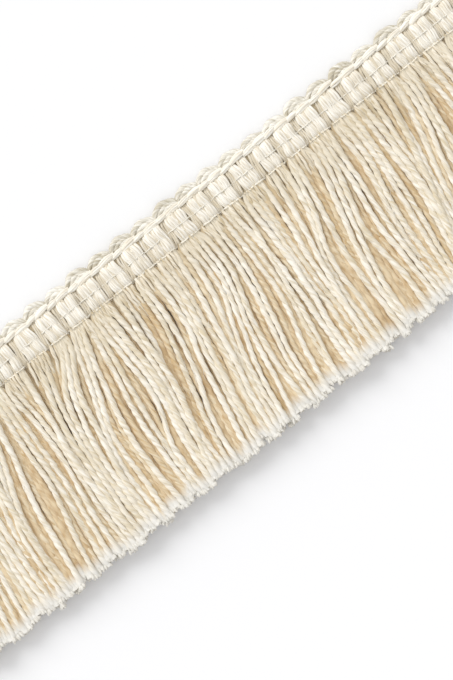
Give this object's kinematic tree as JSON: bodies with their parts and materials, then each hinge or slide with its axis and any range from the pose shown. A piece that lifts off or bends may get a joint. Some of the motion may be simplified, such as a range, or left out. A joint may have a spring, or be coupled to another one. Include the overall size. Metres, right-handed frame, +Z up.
{
  "type": "brush fringe trim",
  "caption": "Cut length of cotton brush fringe lying flat: a ribbed woven heading with a looped scalloped edge, and a brush of soft twisted yarns with even cut ends.",
  "frame": {"origin": "on the surface that the trim lies on, under the middle of its bounding box", "axes": "+X along the trim, +Y across it from the brush towards the scalloped edge, +Z up off the surface, so the face is up"},
  "size_m": [0.1672, 0.0512, 0.0041],
  "materials": {
    "band_cotton": "matte woven cotton",
    "scallop_cotton": "matte cotton cord",
    "chain_cotton": "soft cotton stitches",
    "brush_cotton": "soft twisted cotton yarn"
  },
  "bodies": {
    "root": {"ribbed_band": "band_cotton", "scallop_edge": "scallop_cotton", "chain_cord": "chain_cotton", "brush_yarns": "brush_cotton"}
  },
  "joints": []
}
